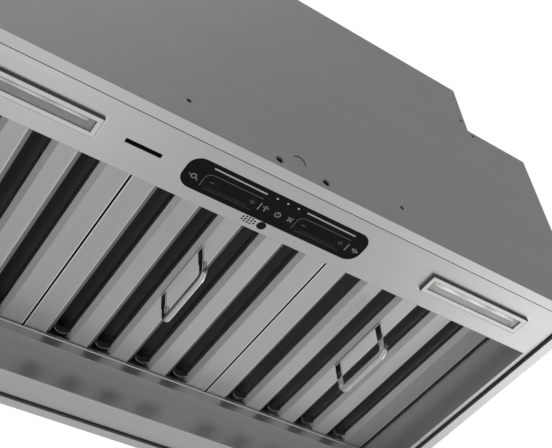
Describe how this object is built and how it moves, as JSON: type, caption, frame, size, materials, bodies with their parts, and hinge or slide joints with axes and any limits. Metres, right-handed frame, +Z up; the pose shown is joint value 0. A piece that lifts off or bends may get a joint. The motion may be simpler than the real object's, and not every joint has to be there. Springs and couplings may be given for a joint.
{
  "type": "range hood insert",
  "caption": "Built-in range hood insert with a T-shaped casing, tilting baffle filters with drop handles, strip lamps, a touch control strip and a round duct collar.",
  "frame": {"origin": "middle of the bottom, on the plane of the return lip", "axes": "+X along the width, +Y towards the rear wall, +Z up"},
  "size_m": [0.848, 0.489, 0.455],
  "materials": {
    "casing": "fine matt sheet",
    "fascia_steel": "brushed along its length",
    "filter_steel": "satin",
    "galvanised": "zinc coated",
    "bright_steel": "bright",
    "handle_chrome": "polished",
    "magnet": "plain",
    "black_rubber": "matt",
    "circuit_board": "solder mask",
    "white_plastic": "moulded",
    "lamp_frame": "satin",
    "lamp_lens": "clear, lightly frosted",
    "black_glass": "printed black glass",
    "black_plastic": "moulded",
    "dark_lens": "gloss",
    "motor_case": "cast"
  },
  "bodies": {
    "hood_body": {"front_panel": "casing", "left_side_panel": "casing", "right_side_panel": "casing", "back_panel": "casing", "tower_wrap": "casing", "tower_lid": "casing", "blower_deck": "casing", "fascia": "fascia_steel", "recess_liner": "fascia_steel", "grease_gutter": "fascia_steel", "duct_collar": "galvanised", "damper_rod": "bright_steel", "catch_brackets": "galvanised", "catch_magnets": "magnet", "lamp_gaskets": "black_rubber", "lamp_boards": "circuit_board", "lamp_driver": "white_plastic", "left_lamp_bezel": "lamp_frame", "left_lamp_lens": "lamp_lens", "right_lamp_bezel": "lamp_frame", "right_lamp_lens": "lamp_lens", "control_glass": "black_glass", "control_board": "circuit_board", "control_tray": "black_plastic", "speaker": "black_plastic", "sensor_lens": "dark_lens", "vent_insert": "black_plastic", "power_box": "galvanised", "power_box_cover": "galvanised", "power_board": "circuit_board", "terminal_block": "black_plastic", "motor_capacitors": "white_plastic", "left_scroll_wrap": "galvanised", "left_scroll_cheeks": "galvanised", "left_motor": "motor_case", "left_motor_bracket": "galvanised", "right_scroll_wrap": "galvanised", "right_scroll_cheeks": "galvanised", "right_motor": "motor_case", "right_motor_bracket": "galvanised", "front_weld_nuts": "bright_steel", "deck_screws": "bright_steel"},
    "left_filter": {"left_filter_frame": "filter_steel", "left_lower_baffles": "filter_steel", "left_upper_baffles": "filter_steel"},
    "left_handle": {"left_filter_handle": "handle_chrome"},
    "middle_filter": {"middle_filter_frame": "filter_steel", "middle_lower_baffles": "filter_steel", "middle_upper_baffles": "filter_steel"},
    "middle_handle": {"middle_filter_handle": "handle_chrome"},
    "right_filter": {"right_filter_frame": "filter_steel", "right_lower_baffles": "filter_steel", "right_upper_baffles": "filter_steel"},
    "right_handle": {"right_filter_handle": "handle_chrome"},
    "left_blower_wheel": {"left_impeller": "black_plastic", "left_motor_shaft": "bright_steel"},
    "right_blower_wheel": {"right_impeller": "black_plastic", "right_motor_shaft": "bright_steel"},
    "front_flap": {"front_damper_flap": "galvanised"},
    "rear_flap": {"rear_damper_flap": "galvanised"}
  },
  "joints": [
    {"name": "left_filter_tilt", "type": "hinge", "parent": "hood_body", "child": "left_filter", "pos_m": [-0.267, 0.1703, 0.0639], "axis": [1, 0, 0], "range_deg": [0, 75]},
    {"name": "left_handle_fold", "type": "hinge", "parent": "left_filter", "child": "left_handle", "pos_m": [-0.278, -0.0123, 0.0637], "axis": [0, 1, 0], "range_deg": [-80, 88]},
    {"name": "middle_filter_tilt", "type": "hinge", "parent": "hood_body", "child": "middle_filter", "pos_m": [0, 0.1703, 0.0639], "axis": [1, 0, 0], "range_deg": [0, 75]},
    {"name": "middle_handle_fold", "type": "hinge", "parent": "middle_filter", "child": "middle_handle", "pos_m": [-0.011, -0.0123, 0.0637], "axis": [0, 1, 0], "range_deg": [-80, 88]},
    {"name": "right_filter_tilt", "type": "hinge", "parent": "hood_body", "child": "right_filter", "pos_m": [0.267, 0.1703, 0.0639], "axis": [1, 0, 0], "range_deg": [0, 75]},
    {"name": "right_handle_fold", "type": "hinge", "parent": "right_filter", "child": "right_handle", "pos_m": [0.256, -0.0123, 0.0637], "axis": [0, 1, 0], "range_deg": [-80, 88]},
    {"name": "left_blower_spin", "type": "hinge", "parent": "hood_body", "child": "left_blower_wheel", "pos_m": [-0.165, -0.11, 0.206], "axis": [1, 0, 0], "continuous": true},
    {"name": "right_blower_spin", "type": "hinge", "parent": "hood_body", "child": "right_blower_wheel", "pos_m": [0.165, -0.11, 0.206], "axis": [1, 0, 0], "continuous": true},
    {"name": "front_flap_swing", "type": "hinge", "parent": "hood_body", "child": "front_flap", "pos_m": [0, -0.0745, 0.419], "axis": [-1, 0, 0], "range_deg": [0, 75]},
    {"name": "rear_flap_swing", "type": "hinge", "parent": "hood_body", "child": "rear_flap", "pos_m": [0, -0.0745, 0.419], "axis": [1, 0, 0], "range_deg": [0, 75]}
  ]
}
